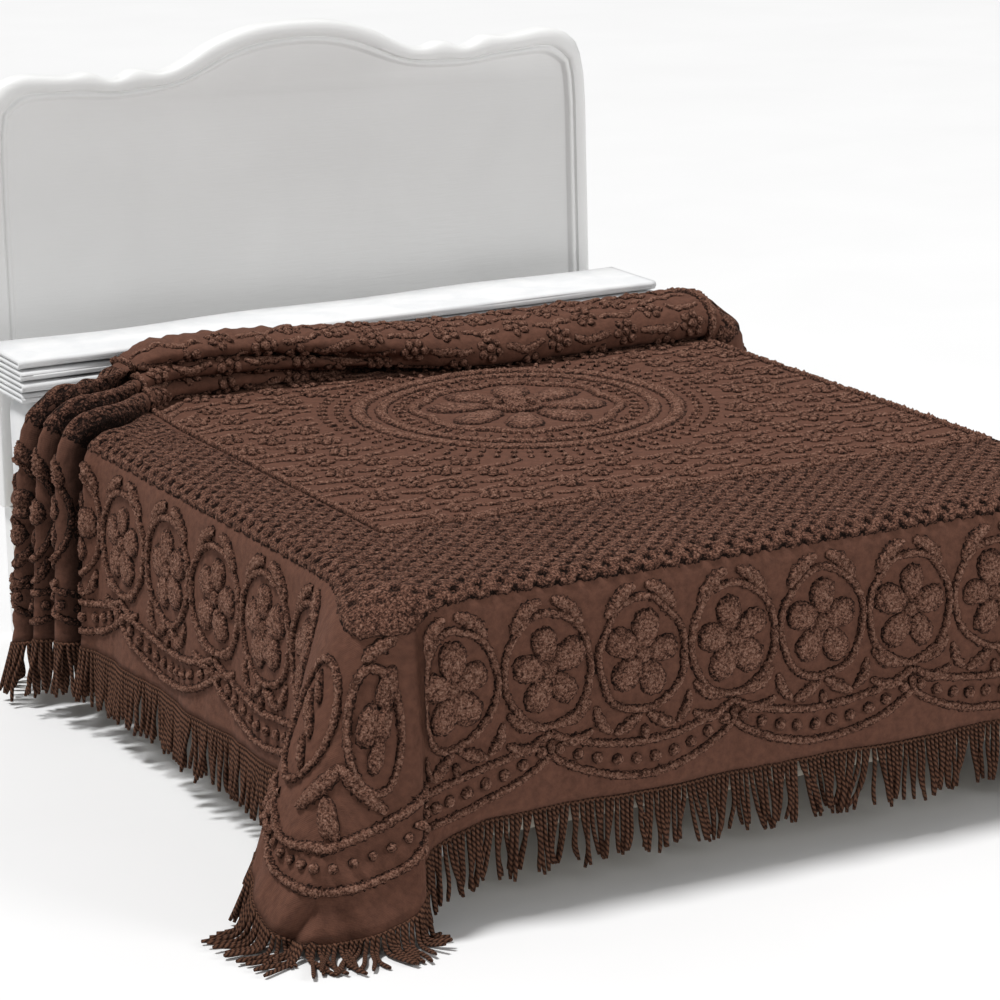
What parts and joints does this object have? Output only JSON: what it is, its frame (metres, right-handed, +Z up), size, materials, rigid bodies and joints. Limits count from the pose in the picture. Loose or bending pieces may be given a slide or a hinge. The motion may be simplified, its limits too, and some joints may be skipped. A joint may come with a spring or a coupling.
{
  "type": "chenille bedspread on a bed",
  "caption": "Tufted chenille bedspread with a cord fringe, draped over a made-up double bed with a scalloped headboard.",
  "frame": {"origin": "on the floor, under the middle of the whole object's bounding box", "axes": "+X to the right of someone who stands at the foot and looks at the headboard, +Y from the foot to the headboard, +Z up"},
  "size_m": [2.1762, 2.3174, 1.325],
  "materials": {
    "brown_chenille": "matt tufted cotton",
    "brown_cord": "matt twisted cotton cord",
    "white_cotton": "plain white cotton",
    "cream_ticking": "plain cream ticking",
    "white_paint": "off-white satin paint on wood"
  },
  "bodies": {
    "root": {"bedspread": "brown_chenille", "fringe": "brown_cord", "folded_sheet": "white_cotton", "mattress": "white_cotton", "box_spring": "cream_ticking", "rail_left": "white_paint", "rail_right": "white_paint", "leg_foot_left": "white_paint", "leg_foot_right": "white_paint", "leg_head_left": "white_paint", "leg_head_right": "white_paint", "headboard_post_left": "white_paint", "headboard_post_right": "white_paint", "headboard": "white_paint"}
  },
  "joints": []
}
